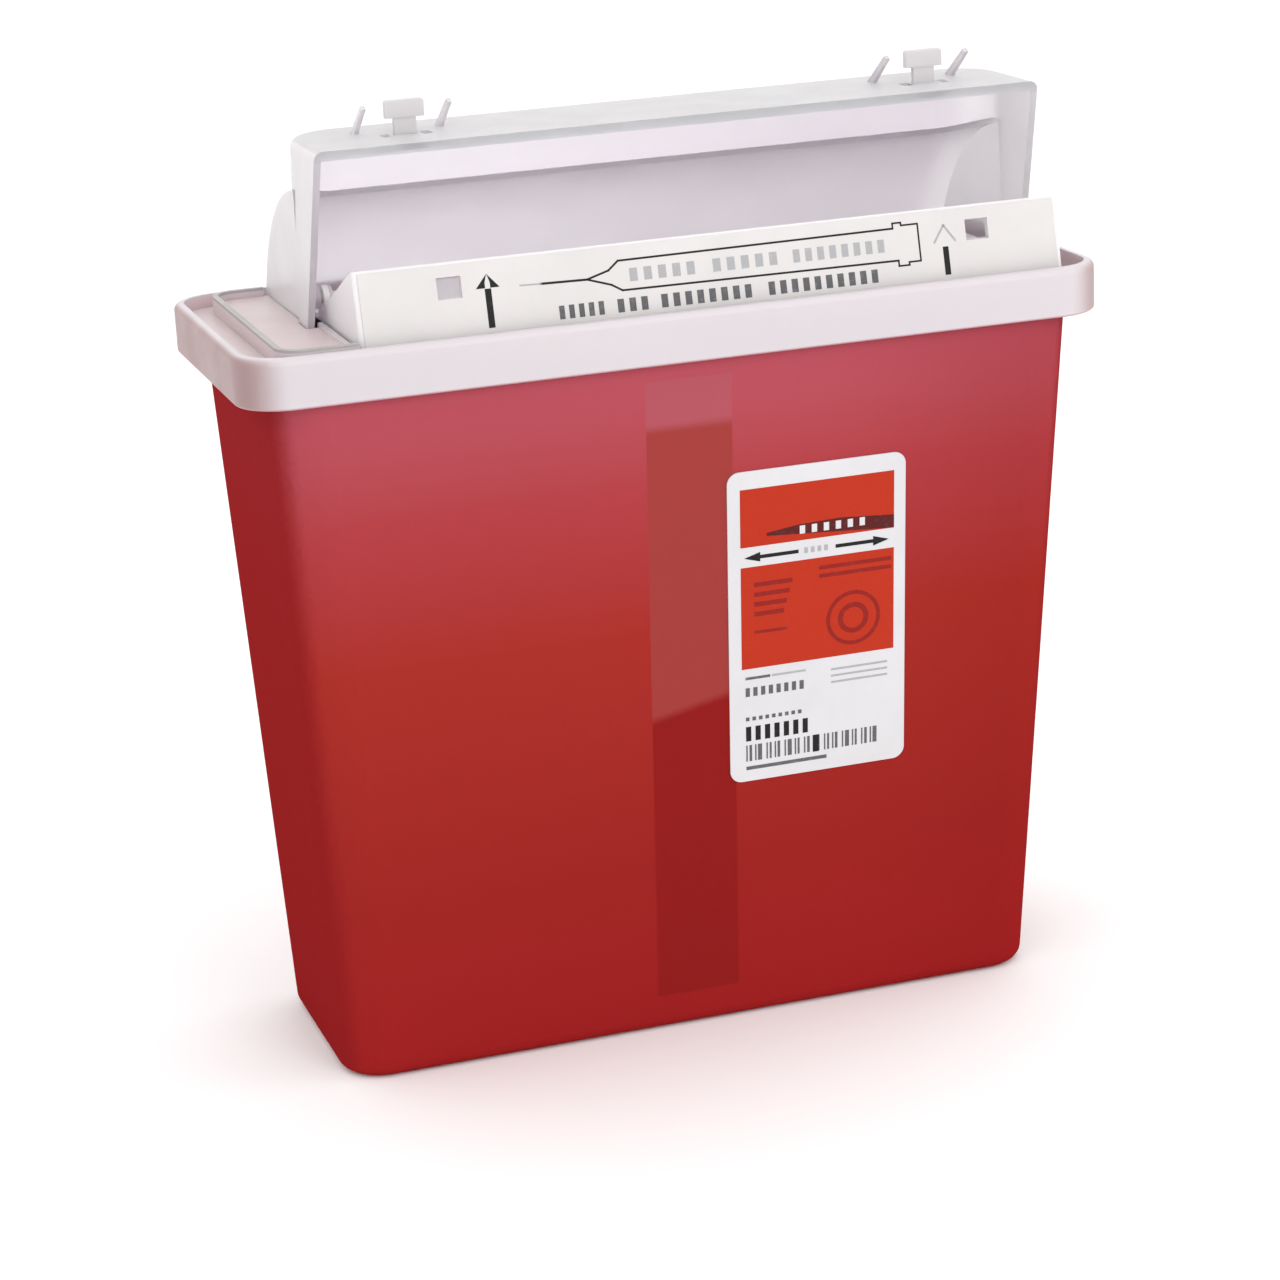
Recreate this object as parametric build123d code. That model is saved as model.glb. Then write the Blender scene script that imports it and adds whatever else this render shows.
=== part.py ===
"""Bench and wall sharps container: tapered red tub, natural lid with an offset hood, tilting drop tray.

Millimetres. +Z is up, +X runs to the right of the tray opening, -Y is the front.
The origin is the centre of the lid's plan outline, on the surface that the tub stands on.
"""
import os
from math import cos, radians, sin, tan

from build123d import *

# Lid outline (the widest part of the object)
LID_WIDTH = 279.0
LID_DEPTH = 115.0
LID_CORNER = 16.0
LID_BOTTOM = 226.6
LID_TOP = 242.3
LID_WALL = 2.0
LID_RIM = 3.2
LID_EDGE = 2.2
LID_FOOT_EDGE = 1.2
DECK_TOP = 234.0
DECK_THICKNESS = 2.0
FIT_GAP = 0.3

# Tub: x half-width, front y, back y and corner radius at the floor and at the mouth
TUB_HALF_WIDTH = (119.3, 131.1)
TUB_FRONT = (-34.2, -54.3)
TUB_BACK = (51.0, 54.2)
TUB_CORNER = (15.0, 17.0)
TUB_TOP = DECK_TOP - DECK_THICKNESS
TUB_WALL = 2.0
TUB_FLOOR = 2.4
TUB_BASE_FILLET = 5.0
TUB_FLANGE = 2.4
FOOT_RING = 14.0
FOOT_RECESS = 1.2

# Lid details: bead, plug wall, throat, raised ridge round the left end, guard wall beside the tray
BEAD_DEPTH = 0.9
BEAD_HEIGHT = 1.1
PLUG_INSET = 1.0
PLUG_WALL = 1.4
PLUG_DROP = 9.0
THROAT_X = (-103.4, 124.0)
THROAT_Y = (-14.0, 46.0)
VALLEY_TOP = 238.0
LAND_TOP = 240.8
LAND_POCKET_LEFT = -120.5
LAND_POCKET_Y = (-44.5, 43.0)
RIDGE_WALL = 1.8
RIDGE_TOP = 243.6
RIDGE_LEFT = -126.9
RIDGE_FRONT = -53.0
RIDGE_BACK = 50.0
RIDGE_CORNER = 8.0
GUARD_WALL = 1.6
GUARD_TOP = 242.0
GUARD_BACK = -8.6
REST_RIB_WALL = 1.6
REST_RIB_Y = (-46.0, -18.0)
REST_RIB_OFFSETS = (-84.0, -28.0, 28.0, 84.0)

# Hood: its centre stands to the right of the lid's centre; plan sizes are at the deck, below the draft
HOOD_CENTRE = 11.4
HOOD_HALF_WIDTH = 120.2
HOOD_DRAFT = 2.3
HOOD_TOP_EDGE = 3.0
HOOD_TOP = 297.0
HOOD_WALL = 2.2
HOOD_FRONT_TOP = -27.7
HOOD_FRONT_LEAN = 17.2
HOOD_BACK = 21.5
HOOD_CORNER = 19.0
HOOD_LIP_DEPTH = 3.1
HOOD_LIP_WALL = 2.0
POST_BACK = 0.5

# Curved rear cover
SHELL_HALF_WIDTH = 118.8
SHELL_WALL = 1.6
SHELL_RADIUS = 62.0
SHELL_CENTRE = (-5.9, 220.1)
SHELL_FRONT = 0.7
SHELL_CROWN = 255.0

# Tilting tray and its pivot
PIVOT = (-4.0, 249.0)
PIN_RADIUS = 2.0
PIN_CLEARANCE = 0.05
PIN_HEAD_RADIUS = 3.0
PIN_HEAD = 1.2
PIN_REACH = 4.0
BOSS_RADIUS = 3.6
BOSS_REACH = (1.0, 4.8)
BORE_REACH = 4.4
TRAY_X = (-102.0, 126.0)
TRAY_WALL = 1.8
TRAY_UNDERSIDE = 240.6
TRAY_BACK = 36.0
TAIL_RIGHT = 121.5
TAIL_START = 4.0
FLAP_FOOT = -51.0
FLAP_HEIGHT = 23.5
FLAP_LEAN = 12.5
FLAP_WALL = 2.0
FLAP_CORNER = 1.2

# Lock tabs, the sockets that they enter, and the small fins beside them
TAB_X = (-73.0, 98.0)
TAB_Y = -7.8
TAB_HEAD = (12.2, 2.8, 5.4)
TAB_STEM = (7.0, 2.2)
TAB_RISE = 10.5
TAB_FOOT = 294.2
TAB_CLEARANCE = 0.2
SOCKET = (7.6, 6.4)
SOCKET_HEIGHT = 256.0
SIDE_SLOT = (3.0, 6.0)
SIDE_SLOT_WEB = 1.2
FIN_OFFSET = 13.5
FIN_WALL = 1.4
FIN_PROFILE = ((0.0, 296.9), (4.6, 296.9), (-10.6, 306.9), (-12.2, 306.0))

# Labels
LABEL_THICKNESS = 0.4
LABEL_SIZE = (60.0, 105.0)
LABEL_CENTRE = (40.9, 136.4)
LABEL_CORNER = 4.0
DOOR_LABEL_MARGIN = 0.8
DOOR_LABEL_END = 1.5


def block(x_range, y_range, z_range):
    """Plain box between pairs of limits."""
    size = [high - low for low, high in (x_range, y_range, z_range)]
    middle = [(high + low) / 2 for low, high in (x_range, y_range, z_range)]
    return Pos(*middle) * Box(*size)


def rounded_block(half_width, y_range, z_range, corner):
    """Box about x = 0 with rounded upright edges."""
    depth = y_range[1] - y_range[0]
    outline = RectangleRounded(2 * half_width, depth, corner)
    place = Pos(0, (y_range[0] + y_range[1]) / 2, z_range[0])
    return extrude(place * outline, amount=z_range[1] - z_range[0])


def side_profile(points, x_range):
    """Prism along X over a closed outline given as (y, z) points."""
    outline = make_face(Polyline(*points, close=True))
    return extrude(Plane.YZ.offset(x_range[0]) * outline, amount=x_range[1] - x_range[0])


def rod(centre, radius, x_range):
    """Cylinder along X about a (y, z) centre."""
    disc = Plane.YZ.offset(x_range[0]) * Pos(*centre) * Circle(radius)
    return extrude(disc, amount=x_range[1] - x_range[0])


def at_tray_ends(inner, outer):
    """The x ranges of a pair of pieces, measured outwards from the tray's left and right ends."""
    left, right = TRAY_X
    return (left - outer, left - inner), (right + inner, right + outer)


def tub_section(height, inset):
    """The tub's rounded outline at a height, moved inwards by an inset."""
    share = height / TUB_TOP
    half_width, front, back, corner = (
        low + (high - low) * share
        for low, high in (TUB_HALF_WIDTH, TUB_FRONT, TUB_BACK, TUB_CORNER)
    )
    outline = RectangleRounded(2 * (half_width - inset), back - front - 2 * inset, corner - inset)
    return Pos(0, (front + back) / 2, height) * outline


def tub_solid(inset, bottom, top):
    """Tapered solid of the tub's outline with a rounded bottom edge."""
    solid = loft([tub_section(bottom, inset), tub_section(top, inset)], ruled=True)
    base_edges = solid.faces().sort_by(Axis.Z)[0].edges()
    return fillet(base_edges, TUB_BASE_FILLET - inset)


def container_body():
    """Tub with a flat flange at its mouth and a shallow recess under the floor."""
    flange_half = LID_WIDTH / 2 - LID_WALL - FIT_GAP
    flange_edge = LID_DEPTH / 2 - LID_WALL - FIT_GAP
    flange = rounded_block(
        flange_half, (-flange_edge, flange_edge), (TUB_TOP - TUB_FLANGE, TUB_TOP), LID_CORNER - LID_WALL
    )
    solid = tub_solid(0, 0, TUB_TOP) + flange
    solid -= tub_solid(TUB_WALL, TUB_FLOOR, TUB_TOP)
    recess = extrude(tub_section(0, FOOT_RING), amount=FOOT_RECESS)
    return solid - recess


def ridge():
    """Low wall that runs round the left end of the lid, from the hood to the tray."""
    outer = rounded_block(
        -RIDGE_LEFT, (RIDGE_FRONT, RIDGE_BACK), (DECK_TOP - 1, RIDGE_TOP), RIDGE_CORNER
    )
    inner = rounded_block(
        -RIDGE_LEFT - RIDGE_WALL,
        (RIDGE_FRONT + RIDGE_WALL, RIDGE_BACK - RIDGE_WALL),
        (DECK_TOP - 2, RIDGE_TOP + 1),
        RIDGE_CORNER - RIDGE_WALL,
    )
    ring = outer - inner
    hood_left = HOOD_CENTRE - HOOD_HALF_WIDTH - FIT_GAP
    tray_left = TRAY_X[0] - 2 * FIT_GAP
    back_part = ring & block((-LID_WIDTH, hood_left), (0, LID_DEPTH), (DECK_TOP - 1, RIDGE_TOP))
    front_part = ring & block((-LID_WIDTH, tray_left), (-LID_DEPTH, 0), (DECK_TOP - 1, RIDGE_TOP))
    return back_part + front_part


def left_land():
    """Raised part of the deck at the lid's left end, with a lower valley outside the ridge."""
    frame_left = HOOD_CENTRE - HOOD_HALF_WIDTH - FIT_GAP
    shell_left = HOOD_CENTRE - SHELL_HALF_WIDTH - FIT_GAP
    heights = (DECK_TOP - 1, LAND_TOP)
    beside = block((-LID_WIDTH, frame_left), (-LID_DEPTH, POST_BACK + FIT_GAP), heights)
    beside += block((-LID_WIDTH, shell_left), (POST_BACK + FIT_GAP, LID_DEPTH), heights)
    half_rim = (LID_WIDTH / 2 - LID_RIM, LID_DEPTH / 2 - LID_RIM)
    valley = rounded_block(
        half_rim[0], (-half_rim[1], half_rim[1]), (DECK_TOP - 1, VALLEY_TOP), LID_CORNER - LID_RIM
    )
    land = rounded_block(
        -RIDGE_LEFT - RIDGE_WALL / 2,
        (RIDGE_FRONT + RIDGE_WALL / 2, RIDGE_BACK - RIDGE_WALL / 2),
        heights,
        RIDGE_CORNER - RIDGE_WALL / 2,
    )
    ahead_x = (frame_left - 1, THROAT_X[0] - GUARD_WALL / 2)
    ahead_y = (RIDGE_FRONT + RIDGE_WALL / 2, hood_front(LAND_TOP) - FIT_GAP)
    ahead = block(ahead_x, ahead_y, heights)
    return (valley & beside) + (land & beside) + ahead


def lid_base():
    """Skirt, deck with the throat, bead, plug wall, end ridge, guard wall and tray rest ribs."""
    half_width = LID_WIDTH / 2
    half_depth = LID_DEPTH / 2
    outer = rounded_block(half_width, (-half_depth, half_depth), (LID_BOTTOM, LID_TOP), LID_CORNER)
    outer = fillet(outer.faces().sort_by(Axis.Z)[-1].edges(), LID_EDGE)
    outer = fillet(outer.faces().sort_by(Axis.Z)[0].edges(), LID_FOOT_EDGE)
    inner_half = half_width - LID_WALL
    inner_edge = half_depth - LID_WALL
    inner_corner = LID_CORNER - LID_WALL

    def inside(shrink, z_range):
        edge = inner_edge - shrink
        return rounded_block(inner_half - shrink, (-edge, edge), z_range, inner_corner - shrink)

    solid = outer - inside(0, (LID_BOTTOM - 1, TUB_TOP))
    solid -= inside(LID_RIM - LID_WALL, (DECK_TOP, LID_TOP + 1))
    bead_z = (LID_BOTTOM + FIT_GAP, LID_BOTTOM + FIT_GAP + BEAD_HEIGHT)
    solid += inside(-FIT_GAP, bead_z) - inside(BEAD_DEPTH, bead_z)
    plug_inset = TUB_WALL + PLUG_INSET
    plug = extrude(tub_section(TUB_TOP, plug_inset), amount=-PLUG_DROP)
    plug -= extrude(tub_section(TUB_TOP, plug_inset + PLUG_WALL), amount=-PLUG_DROP)
    solid += plug
    solid += left_land() + ridge()
    pocket_right = HOOD_CENTRE - HOOD_HALF_WIDTH - DECK_THICKNESS
    pocket_z = (TUB_TOP - 1, LAND_TOP - DECK_THICKNESS)
    solid -= block((LAND_POCKET_LEFT, pocket_right), LAND_POCKET_Y, pocket_z)
    guard_x = (THROAT_X[0] - GUARD_WALL, THROAT_X[0])
    solid += block(guard_x, (RIDGE_FRONT + RIDGE_WALL / 2, GUARD_BACK), (DECK_TOP - 1, GUARD_TOP))
    for offset in REST_RIB_OFFSETS:
        rib_x = (HOOD_CENTRE + offset - REST_RIB_WALL / 2, HOOD_CENTRE + offset + REST_RIB_WALL / 2)
        solid += block(rib_x, REST_RIB_Y, (DECK_TOP - 1, TRAY_UNDERSIDE - FIT_GAP))
    return solid - block(THROAT_X, THROAT_Y, (DECK_TOP - 2 * DECK_THICKNESS, DECK_TOP + 1))


def hood_front(height):
    """The y of the hood's leaning front plane at a height."""
    return HOOD_FRONT_TOP + (HOOD_TOP - height) * tan(radians(HOOD_FRONT_LEAN))


def hood_plan(inset, top):
    """Hood from the deck up, with two rounded rear corners and drafted walls, open past the front."""
    half_width = HOOD_HALF_WIDTH - inset
    front = HOOD_FRONT_TOP - 10
    back = HOOD_BACK - inset
    outline = Pos(HOOD_CENTRE, (front + back) / 2) * Rectangle(2 * half_width, back - front)
    outline = fillet(outline.vertices().group_by(Axis.Y)[-1], HOOD_CORNER - inset)
    return extrude(Pos(0, 0, DECK_TOP) * outline, amount=top - DECK_TOP, taper=HOOD_DRAFT)


def tab_openings():
    """Cutters for the slots in the hood top: one for each stem and one at each side of it."""
    z_range = (HOOD_TOP - 2 * HOOD_WALL, HOOD_TOP + 1)
    stem_half = TAB_STEM[0] / 2 + TAB_CLEARANCE
    stem_depth = TAB_STEM[1] / 2 + TAB_CLEARANCE
    side_middle = stem_half + SIDE_SLOT_WEB + SIDE_SLOT[0] / 2
    side_y = (TAB_Y - 1 - SIDE_SLOT[1] / 2, TAB_Y - 1 + SIDE_SLOT[1] / 2)
    cutters = []
    for centre in TAB_X:
        stem_x = (centre - stem_half, centre + stem_half)
        cutters.append(block(stem_x, (TAB_Y - stem_depth, TAB_Y + stem_depth), z_range))
        for side in (-1, 1):
            middle = centre + side * side_middle
            side_x = (middle - SIDE_SLOT[0] / 2, middle + SIDE_SLOT[0] / 2)
            cutters.append(block(side_x, side_y, z_range))
    return cutters


def hood_frame():
    """Top plate with two front posts, a rear drop wall, pivot bosses and the fins beside the tabs."""
    solid = hood_plan(0, HOOD_TOP)
    top_edges = solid.faces().sort_by(Axis.Z)[-1].edges().sort_by(Axis.Y)
    solid = fillet(top_edges[1:], HOOD_TOP_EDGE)
    solid -= hood_plan(HOOD_WALL, HOOD_TOP - HOOD_WALL)
    solid -= rod(SHELL_CENTRE, SHELL_RADIUS + 0.1, (-LID_WIDTH, LID_WIDTH)) & block(
        (-LID_WIDTH, LID_WIDTH), (POST_BACK, LID_DEPTH), (DECK_TOP - 1, HOOD_TOP)
    )
    lip_foot = HOOD_TOP - HOOD_LIP_DEPTH
    lip_top = HOOD_TOP - HOOD_WALL + 0.5
    lip = (
        (hood_front(lip_foot), lip_foot),
        (hood_front(lip_foot) + HOOD_LIP_WALL, lip_foot),
        (hood_front(lip_top) + HOOD_LIP_WALL, lip_top),
        (hood_front(lip_top), lip_top),
    )
    lean_in = (HOOD_TOP - DECK_TOP) * tan(radians(HOOD_DRAFT))
    inner_half = HOOD_HALF_WIDTH - lean_in - HOOD_WALL / 2
    solid += side_profile(lip, (HOOD_CENTRE - inner_half, HOOD_CENTRE + inner_half))
    ahead = (
        (hood_front(DECK_TOP - 5), DECK_TOP - 5),
        (hood_front(HOOD_TOP + 5), HOOD_TOP + 5),
        (-LID_DEPTH, HOOD_TOP + 5),
        (-LID_DEPTH, DECK_TOP - 5),
    )
    solid -= side_profile(ahead, (-LID_WIDTH, LID_WIDTH))
    for x_range in at_tray_ends(*BOSS_REACH):
        solid += rod(PIVOT, BOSS_RADIUS, x_range)
    for x_range in at_tray_ends(0, BORE_REACH):
        solid -= rod(PIVOT, PIN_RADIUS + PIN_CLEARANCE, x_range)
    for cutter in tab_openings():
        solid -= cutter
    for centre in TAB_X:
        for side in (-1, 1):
            fin_x = centre + side * FIN_OFFSET
            solid += side_profile(FIN_PROFILE, (fin_x - FIN_WALL / 2, fin_x + FIN_WALL / 2))
    return solid


def hood_rear_shell():
    """Arched cover behind the tray, closed at both ends, standing on the deck."""
    x_range = (HOOD_CENTRE - SHELL_HALF_WIDTH, HOOD_CENTRE + SHELL_HALF_WIDTH)
    inner_x = (x_range[0] + SHELL_WALL, x_range[1] - SHELL_WALL)
    solid = rod(SHELL_CENTRE, SHELL_RADIUS, x_range)
    solid -= rod(SHELL_CENTRE, SHELL_RADIUS - SHELL_WALL, inner_x)
    solid &= block(x_range, (SHELL_FRONT, LID_DEPTH), (DECK_TOP, HOOD_TOP))
    open_crown = block(inner_x, (SHELL_FRONT - 1, HOOD_BACK), (SHELL_CROWN, HOOD_TOP))
    solid -= open_crown & hood_plan(HOOD_WALL, HOOD_TOP)
    foot_z = (DECK_TOP - 1, LID_TOP + FIT_GAP)
    foot_half = LID_WIDTH / 2 - LID_RIM - FIT_GAP
    foot_edge = LID_DEPTH / 2 - LID_RIM - FIT_GAP
    within_skirt = rounded_block(foot_half, (-foot_edge, foot_edge), foot_z, LID_CORNER - LID_RIM)
    beyond_skirt = block((-LID_WIDTH, LID_WIDTH), (-LID_DEPTH, LID_DEPTH), foot_z) - within_skirt
    return solid - beyond_skirt


def flap_point(rise, forward=0.0):
    """A (y, z) point on the flap's front face at a rise along it, moved forward off the face."""
    lean = radians(FLAP_LEAN)
    y = FLAP_FOOT + rise * sin(lean) - forward * cos(lean)
    z = TRAY_UNDERSIDE + rise * cos(lean) + forward * sin(lean)
    return y, z


def socket_cutters():
    """Cutters for the two holes in the flap that take the lock tabs."""
    z_range = (SOCKET_HEIGHT - SOCKET[1] / 2, SOCKET_HEIGHT + SOCKET[1] / 2)
    half = SOCKET[0] / 2
    return [block((x - half, x + half), (-LID_DEPTH / 2, PIVOT[0] - 10), z_range) for x in TAB_X]


def tray_door():
    """Level drop tray: leaning front flap, floor with a tail behind the pivot, and two end gussets."""
    x_range = TRAY_X
    floor_z = (TRAY_UNDERSIDE, TRAY_UNDERSIDE + TRAY_WALL)
    flap_top = flap_point(FLAP_HEIGHT)
    flap_back = flap_point(FLAP_HEIGHT, -FLAP_WALL)
    foot_back = (FLAP_FOOT + FLAP_WALL, TRAY_UNDERSIDE)
    flap = side_profile((flap_point(0), flap_top, flap_back, foot_back), x_range)
    floor = block(x_range, (FLAP_FOOT + FLAP_WALL / 2, TAIL_START), floor_z)
    tail = block((x_range[0], TAIL_RIGHT), (TAIL_START, TRAY_BACK), floor_z)
    gusset = (
        flap_point(0),
        flap_top,
        flap_back,
        (PIVOT[0] - BOSS_RADIUS - 0.6, PIVOT[1] - 1.7),
        (PIVOT[0] + BOSS_RADIUS, PIVOT[1] - 1.7),
        (TAIL_START, TRAY_UNDERSIDE),
    )
    solid = flap + floor + tail
    for gusset_x in at_tray_ends(-TRAY_WALL, 0):
        solid += side_profile(gusset, gusset_x)
        solid += rod(PIVOT, BOSS_RADIUS, gusset_x)
        solid -= rod(PIVOT, PIN_RADIUS, gusset_x)
    ends = solid.faces().sort_by(Axis.Y)[0].edges().group_by(Axis.X)
    solid = fillet(ends[0] + ends[-1], FLAP_CORNER)
    for cutter in socket_cutters():
        solid -= cutter
    return solid


def pivot_pins():
    """Two headed pins, one through each gusset into a blind bore in the hood post."""
    shafts = at_tray_ends(-TRAY_WALL, PIN_REACH)
    heads = at_tray_ends(-TRAY_WALL - PIN_HEAD, -TRAY_WALL)
    pins = []
    for shaft_x, head_x in zip(shafts, heads):
        pins.append(rod(PIVOT, PIN_RADIUS, shaft_x) + rod(PIVOT, PIN_HEAD_RADIUS, head_x))
    return Compound(children=pins)


def lock_tab(centre):
    """Push-down tab: wide head, narrow stem through the hood top."""
    top = HOOD_TOP + TAB_RISE
    head_foot = top - TAB_HEAD[2]
    head = block(
        (centre - TAB_HEAD[0] / 2, centre + TAB_HEAD[0] / 2),
        (TAB_Y - TAB_HEAD[1] / 2, TAB_Y + TAB_HEAD[1] / 2),
        (head_foot, top),
    )
    head = fillet(head.edges().filter_by(Axis.Y).group_by(Axis.Z)[-1], 1.0)
    stem = block(
        (centre - TAB_STEM[0] / 2, centre + TAB_STEM[0] / 2),
        (TAB_Y - TAB_STEM[1] / 2, TAB_Y + TAB_STEM[1] / 2),
        (TAB_FOOT, head_foot + 0.5),
    )
    return head + stem


def door_label():
    """Printed panel on the front of the flap, with the two socket holes."""
    margin = DOOR_LABEL_MARGIN
    outline = (
        flap_point(margin),
        flap_point(FLAP_HEIGHT - margin),
        flap_point(FLAP_HEIGHT - margin, LABEL_THICKNESS),
        flap_point(margin, LABEL_THICKNESS),
    )
    solid = side_profile(outline, (TRAY_X[0] + DOOR_LABEL_END, TRAY_X[1] - DOOR_LABEL_END))
    for cutter in socket_cutters():
        solid -= cutter
    return solid


def front_label():
    """Thin label flat on the tub's leaning front wall."""
    x, z = LABEL_CENTRE
    slope = (TUB_FRONT[1] - TUB_FRONT[0]) / TUB_TOP
    face = Plane(origin=(x, TUB_FRONT[0] + slope * z, z), x_dir=(1, 0, 0), z_dir=(0, -1, slope))
    return extrude(face * RectangleRounded(*LABEL_SIZE, LABEL_CORNER), amount=LABEL_THICKNESS)


def main():
    """Build every node and write one STEP file for each."""
    left_tab, right_tab = TAB_X
    nodes = {
        "container_body": container_body(),
        "lid_base": lid_base(),
        "hood_frame": hood_frame(),
        "hood_rear_shell": hood_rear_shell(),
        "tray_door": tray_door(),
        "pivot_pins": pivot_pins(),
        "door_label": door_label(),
        "lock_tab_left": lock_tab(left_tab),
        "lock_tab_right": lock_tab(right_tab),
        "front_label": front_label(),
    }
    os.makedirs("parts", exist_ok=True)
    for name, solid in nodes.items():
        export_step(solid, f"parts/{name}.step")


main()
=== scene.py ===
"""Looks of the sharps container: red tub, natural lid and hood, drop tray, lock tabs, labels and printing."""
import math

import bmesh
import bpy
from mathutils import Matrix, Vector


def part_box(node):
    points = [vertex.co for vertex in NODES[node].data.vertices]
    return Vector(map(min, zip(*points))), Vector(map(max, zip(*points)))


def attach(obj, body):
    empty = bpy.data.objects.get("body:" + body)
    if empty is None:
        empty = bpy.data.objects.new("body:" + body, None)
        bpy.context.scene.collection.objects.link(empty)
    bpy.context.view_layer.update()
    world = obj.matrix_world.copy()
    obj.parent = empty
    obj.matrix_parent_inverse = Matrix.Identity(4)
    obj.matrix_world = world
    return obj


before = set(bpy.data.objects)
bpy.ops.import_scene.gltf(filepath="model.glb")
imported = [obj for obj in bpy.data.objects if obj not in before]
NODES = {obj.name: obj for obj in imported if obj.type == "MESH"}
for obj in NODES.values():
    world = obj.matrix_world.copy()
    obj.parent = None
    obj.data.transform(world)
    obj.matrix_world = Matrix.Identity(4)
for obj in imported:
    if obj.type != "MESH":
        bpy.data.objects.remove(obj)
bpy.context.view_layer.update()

MM = 0.001

# Camera: angles in degrees, distance and target in metres, lens in millimetres
CAMERA_AZIMUTH = -17.69
CAMERA_ELEVATION = 17.02
CAMERA_ROLL = -2.96
CAMERA_DISTANCE = 1.1348
CAMERA_TARGET = Vector((-0.0038, 0.0, 0.12305))
CAMERA_LENS = 97.45
CAMERA_NEAR = 0.01

# Studio: strength of the white surroundings, the point that the lights aim at, and the floor's half-width
WORLD_STRENGTH = 1.25
LIGHT_TARGET = (0.0, 0.0, 0.15)
LIGHTS = (
    ("key", (0.35, -1.5, 1.0), (0.8, 0.8), 4.5),
    ("fill", (1.2, -0.7, 0.6), (0.7, 0.9), 1.2),
    ("top", (0.0, -0.1, 1.5), (1.0, 0.8), 0.4),
)
FLOOR_REACH = 30.0
FLOOR_COLOUR = (0.93, 0.93, 0.93, 1.0)


# ---------------------------------------------------------------- camera, light and floor

def make_camera():
    """Camera with a little roll, aimed at a point inside the tub."""
    azimuth, elevation, roll = (math.radians(v) for v in (CAMERA_AZIMUTH, CAMERA_ELEVATION, CAMERA_ROLL))
    back = Vector((
        math.sin(azimuth) * math.cos(elevation),
        -math.cos(azimuth) * math.cos(elevation),
        math.sin(elevation),
    ))
    level = Vector((math.cos(azimuth), math.sin(azimuth), 0.0))
    rise = back.cross(level)
    right = level * math.cos(roll) + rise * math.sin(roll)
    up = rise * math.cos(roll) - level * math.sin(roll)
    data = bpy.data.cameras.new("camera")
    data.lens = CAMERA_LENS
    data.clip_start = CAMERA_NEAR
    camera = bpy.data.objects.new("camera", data)
    place = Matrix((right, up, back)).transposed().to_4x4()
    place.translation = CAMERA_TARGET + back * CAMERA_DISTANCE
    camera.matrix_world = place
    bpy.context.scene.collection.objects.link(camera)
    bpy.context.scene.camera = camera


def area_light(name, place, size, power):
    """Soft rectangular light aimed at the object."""
    data = bpy.data.lights.new(name, "AREA")
    data.shape = "RECTANGLE"
    data.size, data.size_y = size
    data.energy = power
    light = bpy.data.objects.new(name, data)
    light.location = place
    light.rotation_euler = (Vector(LIGHT_TARGET) - Vector(place)).to_track_quat("-Z", "Y").to_euler()
    bpy.context.scene.collection.objects.link(light)


def make_studio():
    """Pale floor, near-white surroundings and three soft lights."""
    world = bpy.data.worlds.new("studio")
    world.use_nodes = True
    background = world.node_tree.nodes["Background"]
    background.inputs["Color"].default_value = (1.0, 1.0, 1.0, 1.0)
    background.inputs["Strength"].default_value = WORLD_STRENGTH
    bpy.context.scene.world = world
    bpy.context.scene.view_settings.view_transform = "Standard"
    for name, place, size, power in LIGHTS:
        area_light(name, place, size, power)
    mesh = bpy.data.meshes.new("floor")
    corners = [(-FLOOR_REACH, -FLOOR_REACH, 0), (FLOOR_REACH, -FLOOR_REACH, 0)]
    corners += [(FLOOR_REACH, FLOOR_REACH, 0), (-FLOOR_REACH, FLOOR_REACH, 0)]
    mesh.from_pydata(corners, [], [(0, 1, 2, 3)])
    floor = bpy.data.objects.new("floor", mesh)
    bpy.context.scene.collection.objects.link(floor)
    material = bpy.data.materials.new("pale_floor")
    material.use_nodes = True
    shader = material.node_tree.nodes["Principled BSDF"]
    shader.inputs["Base Color"].default_value = FLOOR_COLOUR
    shader.inputs["Roughness"].default_value = 0.75
    shader.inputs["Specular IOR Level"].default_value = 0.2
    mesh.materials.append(material)


make_camera()
make_studio()


# ---------------------------------------------------------------- material helpers

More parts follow.
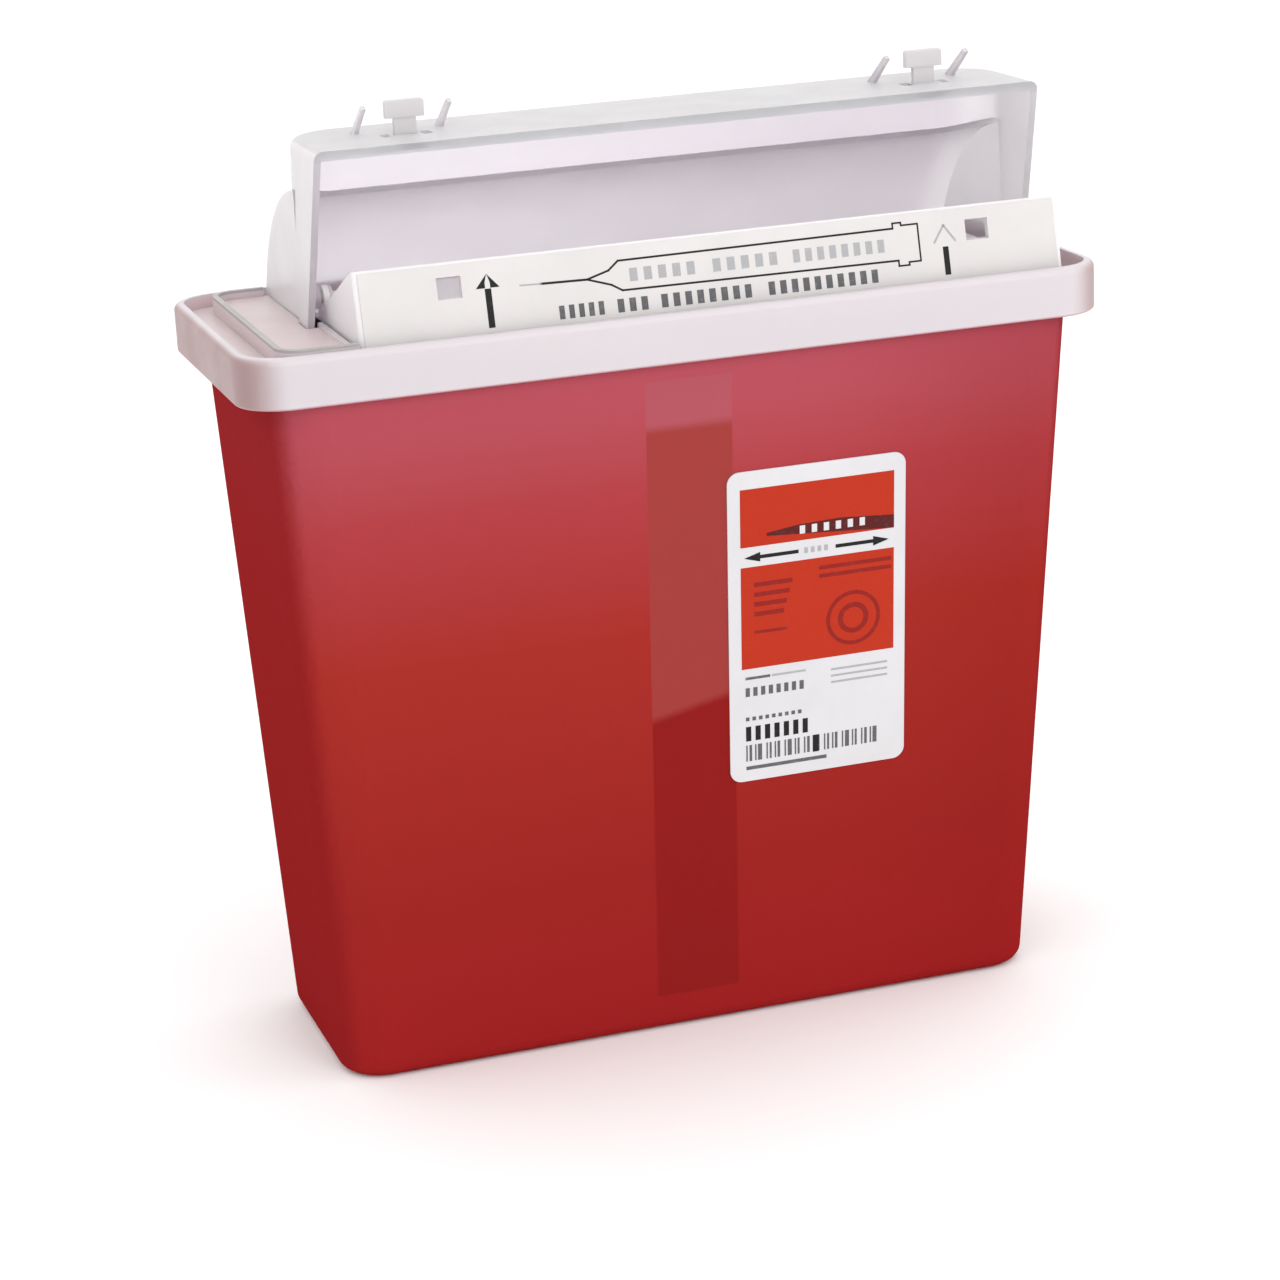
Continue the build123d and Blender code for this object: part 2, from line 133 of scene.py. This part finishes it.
class Shader:
    """A Principled material with short calls for the nodes that feed it."""

    def __init__(self, name, roughness, **sockets):
        self.material = bpy.data.materials.new(name)
        self.material.use_nodes = True
        self.tree = self.material.node_tree
        self.main = self.tree.nodes["Principled BSDF"]
        self.main.inputs["Roughness"].default_value = roughness
        for socket, value in sockets.items():
            self.main.inputs[socket.replace("_", " ")].default_value = value
        self.place = self.tree.nodes.new("ShaderNodeTexCoord").outputs["Object"]

    def link(self, output, target):
        """Joins an output to an input socket."""
        self.tree.links.new(output, target)

    def split(self):
        """The X, Y and Z outputs of the object's own coordinates."""
        node = self.tree.nodes.new("ShaderNodeSeparateXYZ")
        self.link(self.place, node.inputs[0])
        return node.outputs

    def facing(self):
        """The X, Y and Z parts of the surface's own normal."""
        node = self.tree.nodes.new("ShaderNodeSeparateXYZ")
        self.link(self.place.node.outputs["Normal"], node.inputs[0])
        return node.outputs

    def noise(self, scale, detail=3.0, stretch=(1, 1, 1)):
        """Noise in the object's own coordinates."""
        mapping = self.tree.nodes.new("ShaderNodeMapping")
        mapping.inputs["Scale"].default_value = stretch
        self.link(self.place, mapping.inputs["Vector"])
        node = self.tree.nodes.new("ShaderNodeTexNoise")
        node.inputs["Scale"].default_value = scale
        node.inputs["Detail"].default_value = detail
        self.link(mapping.outputs[0], node.inputs["Vector"])
        return node.outputs["Fac"]

    def ramp(self, output, stops):
        """Colour ramp over (position, colour) stops."""
        node = self.tree.nodes.new("ShaderNodeValToRGB")
        elements = node.color_ramp.elements
        while len(elements) < len(stops):
            elements.new(0.5)
        for element, (position, colour) in zip(elements, stops):
            element.position = position
            element.color = (*colour, 1.0)
        self.link(output, node.inputs[0])
        return node.outputs["Color"]

    def range(self, output, low, high, to_low=0.0, to_high=1.0, smooth=True):
        """Maps low..high to to_low..to_high and clamps."""
        node = self.tree.nodes.new("ShaderNodeMapRange")
        node.interpolation_type = "SMOOTHSTEP" if smooth else "LINEAR"
        for socket, value in (("From Min", low), ("From Max", high), ("To Min", to_low), ("To Max", to_high)):
            node.inputs[socket].default_value = value
        self.link(output, node.inputs["Value"])
        return node.outputs["Result"]

    def maths(self, operation, first, second):
        """A Math node on two outputs, or an output and a number."""
        node = self.tree.nodes.new("ShaderNodeMath")
        node.operation = operation
        for index, value in enumerate((first, second)):
            if isinstance(value, (int, float)):
                node.inputs[index].default_value = value
            else:
                self.link(value, node.inputs[index])
        return node.outputs[0]

    def product(self, first, *others):
        """Multiplies two or more outputs."""
        for other in others:
            first = self.maths("MULTIPLY", first, other)
        return first

    def absolute(self, output):
        """The size of an output, without its sign."""
        return self.maths("ABSOLUTE", output, 0.0)

    def mix(self, factor, first, second, blend="MIX"):
        """Mixes two colours; each is an output or a colour."""
        node = self.tree.nodes.new("ShaderNodeMix")
        node.data_type = "RGBA"
        node.blend_type = blend
        for index, value in ((0, factor), (6, first), (7, second)):
            if isinstance(value, (int, float)):
                node.inputs[index].default_value = value
            elif isinstance(value, tuple):
                node.inputs[index].default_value = (*value, 1.0)
            else:
                self.link(value, node.inputs[index])
        return node.outputs[2]

    def colour(self, output):
        """Sets the material's colour."""
        self.link(output, self.main.inputs["Base Color"])

    def bump(self, output, strength, distance):
        """Fine relief over the whole surface."""
        node = self.tree.nodes.new("ShaderNodeBump")
        node.inputs["Strength"].default_value = strength
        node.inputs["Distance"].default_value = distance
        self.link(output, node.inputs["Height"])
        self.link(node.outputs[0], self.main.inputs["Normal"])


# ---------------------------------------------------------------- materials

# Tub: colours up its height that paint shade low down and paint light paler under the lid, the tones mixed in
# where it is cloudy, and painted shade towards the right and on its ends
TUB_HEIGHT = 0.232
TUB_SHADED_COLOURS = (
    (0.0, (0.300, 0.0143, 0.0150)),
    (0.25, (0.281, 0.0175, 0.0155)),
    (0.60, (0.3255, 0.026, 0.0205)),
    (0.80, (0.362, 0.045, 0.052)),
    (0.90, (0.383, 0.064, 0.083)),
    (1.0, (0.400, 0.075, 0.100)),
)
TUB_CLOUD = (0.24, 0.010, 0.010)
TUB_RIGHT_SHADE = (0.17, 0.004, 0.004)
TUB_RIGHT_SHADE_FADE = (0.04, 0.13)
TUB_ENDS_SHADE = (0.235, 0.012, 0.013)

# Sight band on the tub's front: its limits, its tones, and the leaning line where the middle tone ends; the
# middle and lower tones are a painted reflection, lighter above the line and darker below, and the upper tone
# is painted light
STRIP_EDGES = (-0.0147, 0.0127)
STRIP_TOP = 0.2215
STRIP_FOOT = 0.012
STRIP_FRONT = (-0.02, -0.024)
STRIP_REFLECTION_LEVEL = 0.113
STRIP_REFLECTION_TILT = 0.22
STRIP_LIGHT_SHOULDER = 0.206
STRIP_FADE = 0.002
STRIP_EDGE_FADE = 0.0006
STRIP_REFLECTED_LIGHT = (0.304, 0.044, 0.040)
STRIP_REFLECTED_DARK = (0.236, 0.0125, 0.012)
STRIP_PAINTED_TOP_LIGHT = (0.372, 0.079, 0.100)
STRIP_ROUGHNESS = (0.18, 0.18, 0.18)


def red_tub_material():
    """Translucent red polypropylene with painted light and shade: paler under the lid, darker low down,
    towards the right and on its ends, with a polished sight band down the front that carries a painted
    reflection.
    """
    s = Shader("red_polypropylene", 0.3, IOR=1.49, Subsurface_Weight=0.1, Subsurface_Scale=0.003)
    s.main.inputs["Specular IOR Level"].default_value = 0.0
    s.main.inputs["Subsurface Radius"].default_value = (1.0, 0.12, 0.08)
    x, y, z = s.split()
    # painted light and shade up the height: darker low down, paler under the lid
    body = s.ramp(s.range(z, 0.0, TUB_HEIGHT, smooth=False), TUB_SHADED_COLOURS)
    cloud = s.range(s.noise(5.0, 1.0), 0.3, 0.7)
    body = s.mix(s.maths("MULTIPLY", cloud, 0.10), body, TUB_CLOUD)
    # painted shade towards the right of the tub
    body = s.mix(s.range(x, *TUB_RIGHT_SHADE_FADE, 0.0, 0.24), body, TUB_RIGHT_SHADE)
    # painted shade on the tub's ends
    shaded_ends = s.range(s.absolute(s.facing()[0]), 0.55, 0.95, 0.0, 0.9)
    body = s.mix(shaded_ends, body, TUB_ENDS_SHADE)
    band = s.product(
        s.range(x, STRIP_EDGES[0] - STRIP_EDGE_FADE, STRIP_EDGES[0]),
        s.range(x, STRIP_EDGES[1] + STRIP_EDGE_FADE, STRIP_EDGES[1]),
        s.product(
            s.range(z, STRIP_FOOT, STRIP_FOOT + STRIP_EDGE_FADE),
            s.range(z, STRIP_TOP, STRIP_TOP - STRIP_EDGE_FADE),
        ),
        s.range(y, *STRIP_FRONT),
    )
    # painted reflection on the sight band: lighter above a leaning line, darker below it, with painted light
    # above the shoulder
    level = s.maths("SUBTRACT", z, s.maths("MULTIPLY", x, STRIP_REFLECTION_TILT))
    lower = s.range(level, STRIP_REFLECTION_LEVEL + STRIP_FADE, STRIP_REFLECTION_LEVEL - STRIP_FADE)
    upper = s.range(z, STRIP_LIGHT_SHOULDER - STRIP_FADE, STRIP_LIGHT_SHOULDER + STRIP_FADE)
    band_painted_light = s.mix(upper, s.mix(lower, STRIP_REFLECTED_LIGHT, STRIP_REFLECTED_DARK), STRIP_PAINTED_TOP_LIGHT)
    s.colour(s.mix(band, body, band_painted_light))
    grain = s.range(s.noise(55.0, 4.0), 0.25, 0.75, 0.27, 0.36)
    s.link(s.mix(band, grain, STRIP_ROUGHNESS), s.main.inputs["Roughness"])
    matt = s.maths("SUBTRACT", 1.0, band)
    s.bump(s.product(s.noise(900.0, 2.0), matt), 0.1, 0.0002)
    return s.material


# Natural plastic: fineness of its grain, and how much its flow marks darken it
GRAIN_SCALE = 1300.0
FLOW_DARKENING = (0.96, 0.96, 0.96)

# Hood: how clear it is over the tray, at its outer ends and on top, and its tones, which paint shade inside
# towards the right and on its lip, outer ends and top
HOOD_CLEARNESS = 0.78
HOOD_END_CLEARNESS = 0.2
HOOD_TOP_SHARE = 0.3
HOOD_GLOSS = (0.5, 0.05)
HOOD_LIP_SHADE_HEIGHT = (0.2930, 0.2936)
HOOD_INNER_SHADE_FADE = (-0.07, 0.11)
HOOD_INNER_LIGHT_FADE = (0.116, 0.125)
HOOD_INNER_LIT_LEFT = (0.99, 0.93, 0.985)
HOOD_INNER_SHADED_RIGHT = (0.86, 0.80, 0.855)
HOOD_INNER_LIT_END = (0.97, 0.935, 0.965)
HOOD_LIP_SHADE = (0.80, 0.82, 0.83)
HOOD_ENDS_SHADE = (0.73, 0.705, 0.715)
HOOD_TOP_SHADE = (0.61, 0.60, 0.607)


def natural_material(name, tint, transmission):
    """Natural polypropylene: milky, satin, with faint flow marks."""
    s = natural_shader(name, transmission)
    s.colour(flow_marks(s, tint))
    return s.material


def hood_material():
    """The hood's plastic: clear over the tray and milkier on its top and its outer ends; painted shade
    darkens its top, its lip and its outer ends, and darkens the inside towards the right.
    """
    s = natural_shader("natural_hood", HOOD_CLEARNESS)
    x, _, z = s.split()
    normal_x, normal_y, normal_z = s.facing()
    outer_end = s.range(s.product(normal_x, x), 0.05, 0.09)
    top = s.range(normal_z, 0.7, 0.95)
    lip_shade = s.product(s.range(normal_y, -0.5, -0.8), s.range(z, *HOOD_LIP_SHADE_HEIGHT))
    # painted shade inside: lighter on the left, darker towards the right, lighter again at the right end
    inside = s.mix(s.range(x, *HOOD_INNER_SHADE_FADE), HOOD_INNER_LIT_LEFT, HOOD_INNER_SHADED_RIGHT)
    inside = s.mix(s.range(x, *HOOD_INNER_LIGHT_FADE), inside, HOOD_INNER_LIT_END)
    # painted shade on the lip, the outer ends and the top
    tint = s.mix(lip_shade, flow_marks(s, inside), HOOD_LIP_SHADE)
    tint = s.mix(outer_end, tint, HOOD_ENDS_SHADE)
    s.colour(s.mix(top, tint, HOOD_TOP_SHADE))
    s.link(s.range(top, 0.0, 1.0, *HOOD_GLOSS), s.main.inputs["Specular IOR Level"])
    clear = s.product(
        s.range(outer_end, 0.0, 1.0, HOOD_CLEARNESS, HOOD_END_CLEARNESS),
        s.range(top, 0.0, 1.0, 1.0, HOOD_TOP_SHARE),
    )
    s.link(clear, s.main.inputs["Transmission Weight"])
    return s.material


def natural_shader(name, transmission):
    """The satin surface and milky depth that every natural piece shares."""
    light = {"Transmission_Weight": transmission, "Subsurface_Weight": 0.3, "Subsurface_Scale": 0.005}
    s = Shader(name, 0.38, IOR=1.49, **light)
    s.main.inputs["Subsurface Radius"].default_value = (1.0, 0.85, 0.9)
    s.link(s.range(s.noise(70.0, 3.0), 0.3, 0.7, 0.34, 0.46), s.main.inputs["Roughness"])
    s.bump(s.noise(GRAIN_SCALE, 2.0), 0.08, 0.0002)
    return s


def flow_marks(s, tint):
    """A tint with slightly darker streaks along the piece."""
    flow = s.range(s.noise(14.0, 2.0, (0.35, 1.0, 1.6)), 0.3, 0.7)
    return s.mix(flow, tint, FLOW_DARKENING, "MULTIPLY")


# Lid: half-lengths of the rim's straight inner sides, radius of its inner corners, fades in metres
# across the rim, heights where tones meet, and its tones, which paint shade on the rim's ends and the ridge's
# crest
RIM_STRAIGHT = (0.1235, 0.0415)
RIM_CORNER = 0.0128
RIM_INNER_FADE = (RIM_CORNER + 0.0012, RIM_CORNER + 0.0002)
RIM_OUTER_FADE = (RIM_CORNER, RIM_CORNER + 0.001)
DECK_LIMIT = (0.2418, 0.2410)
FOOT_LIMIT = (0.2276, 0.2267)
CREST_SHADE_LIMIT = (0.24245, 0.2429)
LID_SKIN = (0.685, 0.63, 0.66)
LID_ENDS_SHADE = (0.37, 0.235, 0.235)
LID_DECK = (0.72, 0.60, 0.61)
LID_CREST_SHADE = (0.42, 0.39, 0.39)
LID_FOOT = (0.42, 0.13, 0.17)


def lid_material():
    """The lid's plastic: the red tub shows through the deck inside the rim, and along the skirt's foot;
    painted shade darkens the rim's ends and the ridge's crest.
    """
    s = natural_shader("natural_lid", 0.15)
    x, y, z = s.split()
    reach = [
        s.maths("MAXIMUM", s.maths("SUBTRACT", s.absolute(axis), straight), 0.0)
        for axis, straight in ((x, RIM_STRAIGHT[0]), (y, RIM_STRAIGHT[1]))
    ]
    squares = [s.product(side, side) for side in reach]
    corner = s.maths("SQRT", s.maths("ADD", *squares), 0.0)
    inside = s.range(corner, *RIM_INNER_FADE)
    deck = s.product(inside, s.range(z, *DECK_LIMIT))
    # painted shade on the rim's ends
    shaded_ends = s.range(s.absolute(s.facing()[0]), 0.1, 0.9)
    shaded_ends = s.product(shaded_ends, s.range(corner, *RIM_OUTER_FADE))
    colour = s.mix(shaded_ends, flow_marks(s, LID_SKIN), LID_ENDS_SHADE)
    colour = s.mix(deck, colour, LID_DECK)
    # painted shade line along the ridge's crest
    colour = s.mix(s.range(z, *CREST_SHADE_LIMIT), colour, LID_CREST_SHADE)
    s.colour(s.mix(s.maths("MULTIPLY", s.range(z, *FOOT_LIMIT), 0.8), colour, LID_FOOT))
    return s.material


def film_material(name, tint):
    """Printed plastic film: nearly flat, with slight fibre and gloss changes."""
    s = Shader(name, 0.42, IOR=1.4)
    blotch = s.range(s.noise(40.0, 4.0), 0.3, 0.7)
    darker = tuple(0.95 * v for v in tint)
    s.colour(s.mix(blotch, tint, darker))
    s.link(s.range(s.noise(240.0, 3.0), 0.3, 0.7, 0.36, 0.5), s.main.inputs["Roughness"])
    s.bump(s.noise(600.0, 3.0), 0.08, 0.0001)
    return s.material


def ink_material(name, tint, worn):
    """Screen-printed ink with a little patchiness."""
    s = Shader(name, 0.45, IOR=1.3)
    patch = s.range(s.noise(700.0, 4.0), 0.5, 0.8)
    paler = tuple(v + (0.6 - v) * worn for v in tint)
    s.colour(s.mix(patch, tint, paler))
    s.bump(s.noise(1500.0, 2.0), 0.08, 0.0001)
    return s.material


MATERIALS = {
    "red_tub": red_tub_material(),
    "natural_lid": lid_material(),
    "natural_hood": hood_material(),
    "natural_tray": natural_material("natural_tray", (0.90, 0.865, 0.875), 0.15),
    "natural_tab": natural_material("natural_tab", (0.66, 0.64, 0.65), 0.2),
    "pin": natural_material("pin_plastic", (0.60, 0.57, 0.58), 0.1),
    "white_print": film_material("white_print", (0.625, 0.60, 0.592)),
    "label_stock": film_material("label_stock", (0.625, 0.615, 0.632)),
    "black_ink": ink_material("black_ink", (0.006, 0.006, 0.007), 0.03),
    "grey_ink": ink_material("grey_ink", (0.10, 0.10, 0.105), 0.15),
    "pale_ink": ink_material("pale_ink", (0.36, 0.36, 0.37), 0.2),
    "orange_ink": ink_material("orange_ink", (0.42, 0.019, 0.0005), 0.01),
    "dark_orange_ink": ink_material("dark_orange_ink", (0.24, 0.006, 0.003), 0.02),
    "maroon_ink": ink_material("maroon_ink", (0.08, 0.004, 0.004), 0.03),
}


# ---------------------------------------------------------------- the moulded pieces

SMOOTH_BELOW = math.radians(28)
BEVEL_ABOVE = math.radians(35)
NODE_LOOKS = (
    ("container_body", "red_tub", 0.4),
    ("lid_base", "natural_lid", 0.35),
    ("hood_frame", "natural_hood", 0.35),
    ("hood_rear_shell", "natural_hood", 0.3),
    ("tray_door", "natural_tray", 0.3),
    ("pivot_pins", "pin", 0.2),
    ("lock_tab_left", "natural_tab", 0.25),
    ("lock_tab_right", "natural_tab", 0.25),
    ("door_label", "white_print", 0.08),
    ("front_label", "label_stock", 0.08),
)


def finish_node(name, material, edge_width):
    """Gives a CAD node its material, smooth shading and softly broken edges."""
    node = NODES[name]
    node.data.materials.clear()
    node.data.materials.append(MATERIALS[material])
    node.data.shade_smooth()
    node.data.set_sharp_from_angle(angle=SMOOTH_BELOW)
    bevel = node.modifiers.new("edges", "BEVEL")
    bevel.width = edge_width
    bevel.segments = 2
    bevel.limit_method = "ANGLE"
    bevel.angle_limit = BEVEL_ABOVE
    bevel.harden_normals = False
    normals = node.modifiers.new("normals", "WEIGHTED_NORMAL")
    normals.keep_sharp = True


for node_name, node_material, edge_mm in NODE_LOOKS:
    finish_node(node_name, node_material, edge_mm * MM)


# ---------------------------------------------------------------- printing

# Ink, in millimetres: the step between layers and the thickness of one layer over its step
INK_STEP = 0.02
INK_BODY = 0.03

# Front label's thickness in millimetres, the flap's lean, the x that its artwork is measured from,
# in metres, and the number of quads in a ring
LABEL_THICKNESS = 0.4
FLAP_LEAN = math.radians(12.5)
DOOR_ART_CENTRE = 0.0114
RING_STEPS = 36


class Sheet:
    """A flat printed face: artwork is drawn on it in millimetres across and up."""

    def __init__(self, origin, across, up, body):
        self.origin = Vector(origin)
        self.across = Vector(across).normalized()
        self.up = Vector(up).normalized()
        self.out = self.across.cross(self.up)
        self.body = body

    def at(self, u, v, lift):
        """The place of a point across, up and off the sheet."""
        return self.origin + (self.across * u + self.up * v + self.out * lift) * MM

    def print(self, name, outlines, ink, level=1):
        """Thin raised ink: every outline is a closed list of (across, up) points."""
        foot = INK_STEP * (level - 1)
        top = INK_STEP * level + INK_BODY
        build = bmesh.new()
        for outline in outlines:
            if signed_area(outline) < 0:
                outline = outline[::-1]
            lower = [build.verts.new(self.at(u, v, foot)) for u, v in outline]
            upper = [build.verts.new(self.at(u, v, top)) for u, v in outline]
            build.faces.new(upper)
            build.faces.new(lower[::-1])
            count = len(outline)
            for i in range(count):
                j = (i + 1) % count
                build.faces.new((lower[i], lower[j], upper[j], upper[i]))
        bmesh.ops.recalc_face_normals(build, faces=build.faces[:])
        mesh = bpy.data.meshes.new(name)
        build.to_mesh(mesh)
        build.free()
        mesh.materials.append(MATERIALS[ink])
        piece = bpy.data.objects.new(name, mesh)
        bpy.context.scene.collection.objects.link(piece)
        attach(piece, self.body)


def signed_area(outline):
    """Area of a closed outline: positive when it runs anticlockwise."""
    return sum(a[0] * b[1] - b[0] * a[1] for a, b in zip(outline, outline[1:] + outline[:1])) / 2


def bar(u, v, width, height):
    """Rectangle from its lower left corner."""
    return [(u, v), (u + width, v), (u + width, v + height), (u, v + height)]


def stroke(points, width):
    """One quad for each run of a path, with a small overlap at each corner."""
    quads = []
    for (u0, v0), (u1, v1) in zip(points, points[1:]):
        run = Vector((u1 - u0, v1 - v0)).normalized()
        side = Vector((-run.y, run.x)) * width / 2
        start = Vector((u0, v0)) - run * width * 0.45
        end = Vector((u1, v1)) + run * width * 0.45
        quads.append([tuple(start - side), tuple(end - side), tuple(end + side), tuple(start + side)])
    return quads


def ring(u, v, radius, width):
    """Quads round a circle."""
    quads = []
    for i in range(RING_STEPS):
        a0 = math.radians(360.0 * i / RING_STEPS)
        a1 = math.radians(360.0 * (i + 1) / RING_STEPS)
        inner, outer = radius - width / 2, radius + width / 2
        quads.append([
            (u + inner * math.cos(a0), v + inner * math.sin(a0)),
            (u + outer * math.cos(a0), v + outer * math.sin(a0)),
            (u + outer * math.cos(a1), v + outer * math.sin(a1)),
            (u + inner * math.cos(a1), v + inner * math.sin(a1)),
        ])
    return quads


def door_sheet():
    """The leaning face of the flap's printed panel; up follows the lean."""
    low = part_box("door_label")[0]
    foot = Vector((DOOR_ART_CENTRE, low.y, low.z))
    return Sheet(foot, (1, 0, 0), (0, math.sin(FLAP_LEAN), math.cos(FLAP_LEAN)), "tray")


def word(u, v, width, height, count):
    """A row of plain upright blocks that stands in for a printed word."""
    pitch = width / count
    return [bar(u + i * pitch, v, 0.55 * pitch, height) for i in range(count)]


def arrow_up(u, v, height, half_head, shaft):
    """Upright arrow with a small hole in its head."""
    neck = v + height - 1.15 * half_head
    gap = 0.22 * half_head
    return [
        [(u - half_head, neck), (u - gap, neck), (u - gap, neck + 2 * gap), (u, v + height)],
        [(u + half_head, neck), (u + gap, neck), (u + gap, neck + 2 * gap), (u, v + height)],
        bar(u - shaft / 2, v, shaft, neck - v - 0.2),
    ]


def print_door():
    """Lift arrows, a syringe outline that shows how a sharp lies, and plain blocks for wording."""
    sheet = door_sheet()
    sheet.print("print_lift_arrow_left", arrow_up(-72.6, 1.8, 16.2, 3.7, 2.0), "black_ink")
    sheet.print("print_lift_arrow_right", [bar(74.6, 1.8, 1.9, 8.8)], "black_ink")
    head = stroke([(72.0, 12.2), (75.5, 17.2), (79.0, 12.2)], 0.7)
    sheet.print("print_lift_arrow_right_head", head, "pale_ink")
    outline = stroke([(-41.5, 12.9), (-34.5, 14.9), (-31.2, 17.5), (58.6, 17.9)], 0.62)
    outline += stroke([(-41.5, 12.9), (-34.0, 10.5), (-30.7, 8.5), (59.5, 7.9)], 0.62)
    finger_rest = [(58.6, 17.9), (58.6, 19.5), (61.4, 19.5), (61.4, 18.6), (66.9, 18.6), (66.9, 7.1)]
    outline += stroke(finger_rest, 0.55)
    outline += stroke([(66.9, 7.1), (63.0, 7.1), (63.0, 6.2), (59.5, 6.2), (59.5, 7.9)], 0.55)
    outline += stroke([(-56.0, 13.2), (-41.5, 12.9)], 0.7)
    sheet.print("print_syringe_outline", outline, "black_ink")
    sheet.print("print_needle_end", stroke([(-62.5, 13.4), (-56.0, 13.2)], 0.5), "pale_ink")
    pale = word(-28.0, 10.9, 23.0, 4.0, 5) + word(-1.2, 10.9, 23.0, 4.0, 5) + word(25.0, 10.9, 32.0, 4.0, 8)
    sheet.print("print_barrel_blocks", pale, "pale_ink")
    dark = word(-51.3, 1.9, 15.6, 4.1, 5) + word(-32.8, 1.9, 11.4, 4.1, 3)
    dark += word(-18.8, 1.9, 30.9, 4.1, 8) + word(16.0, 1.9, 37.8, 4.1, 10)
    sheet.print("print_foot_blocks", dark, "grey_ink")


def label_sheet():
    """The front label's outer face; up follows the tub's leaning wall."""
    low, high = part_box("front_label")
    rise = high.z - low.z
    thickness = LABEL_THICKNESS * MM
    lean = math.atan2(high.y - low.y - thickness, rise)
    middle = Vector(((low.x + high.x) / 2, (low.y + high.y - thickness) / 2, (low.z + high.z) / 2))
    return Sheet(middle, (1, 0, 0), (0, -math.sin(lean), math.cos(lean)), "container")


def side_arrow(tip, level, length, direction):
    """Arrow lying along the label, pointing left or right."""
    neck = tip - direction * 5.4
    tail = tip - direction * length
    head = [(tip, level), (neck, level + 1.6), (neck, level - 1.6)]
    return [head, [(neck, level - 0.6), (tail, level - 0.6), (tail, level + 0.6), (neck, level + 0.6)]]


def upright_bars(u, v, width, height):
    """Plain upright bars of changing width; they encode nothing."""
    bars = []
    place = u
    step = 0
    while place < u + width:
        thick = (0.5, 0.9, 0.5, 1.4, 0.5, 0.7)[step % 6]
        bars.append(bar(place, v, thick, height))
        place += thick + (0.6, 1.0, 0.5, 1.5)[step % 4]
        step += 1
    return bars


def print_front_label():
    """Two orange fields, opposed arrows, a plain ring, and blocks and bars where wording would be."""
    sheet = label_sheet()
    fields = [bar(-25.8, 27.4, 51.9, 19.2), bar(-25.8, -13.7, 51.9, 34.4)]
    sheet.print("print_orange_fields", fields, "orange_ink")
    taper = [[(-17.0, 30.4), (26.1, 27.4), (26.1, 31.8), (8.0, 33.2), (-6.0, 32.8), (-17.0, 31.4)]]
    sheet.print("print_dark_taper", taper, "maroon_ink", 2)
    dots = [bar(-5.9 + 4.05 * i, 29.6, 1.8, 2.7) for i in range(6)]
    sheet.print("print_white_dots", dots, "label_stock", 3)
    arrows = side_arrow(-24.6, 23.8, 18.3, -1) + side_arrow(24.4, 23.8, 18.2, 1)
    sheet.print("print_side_arrows", arrows, "black_ink")
    sheet.print("print_arrow_word", word(-4.4, 22.9, 9.0, 1.9, 4), "pale_ink")
    faint = [bar(-21.4, 13.8 - 3.3 * i, 13.0 - i, 1.5) for i in range(4)]
    faint += [bar(0.6, 16.6, 24.6, 1.3), bar(0.6, 13.8, 24.6, 1.3), bar(-21.4, -2.0, 11.0, 1.0)]
    sheet.print("print_faint_rows", faint, "dark_orange_ink", 2)
    mark = ring(12.2, -1.2, 8.6, 1.3) + ring(12.2, -1.2, 4.4, 1.7)
    sheet.print("print_plain_rings", mark, "dark_orange_ink", 2)
    small = [bar(-24.6, -17.4, 8.4, 0.9)] + word(-24.6, -31.6, 20.0, 1.3, 9)
    small += word(-24.6, -23.2, 21.0, 3.0, 8) + [bar(-24.6, -48.6, 27.6, 1.2)]
    sheet.print("print_small_rows", small, "grey_ink")
    pale = [bar(-15.6, -17.3, 11.5, 0.7)] + [bar(4.6, -18.4 - 2.2 * i, 19.4, 0.7) for i in range(3)]
    sheet.print("print_pale_rows", pale, "pale_ink")
    sheet.print("print_bold_row", word(-24.6, -38.6, 22.6, 5.0, 7), "black_ink")
    bars = upright_bars(-24.6, -45.6, 46.5, 5.6)
    sheet.print("print_upright_bars", bars, "grey_ink")
    sheet.print("print_heavy_bar", [bar(-1.7, -45.8, 2.0, 5.9)], "black_ink", 2)


print_door()
print_front_label()
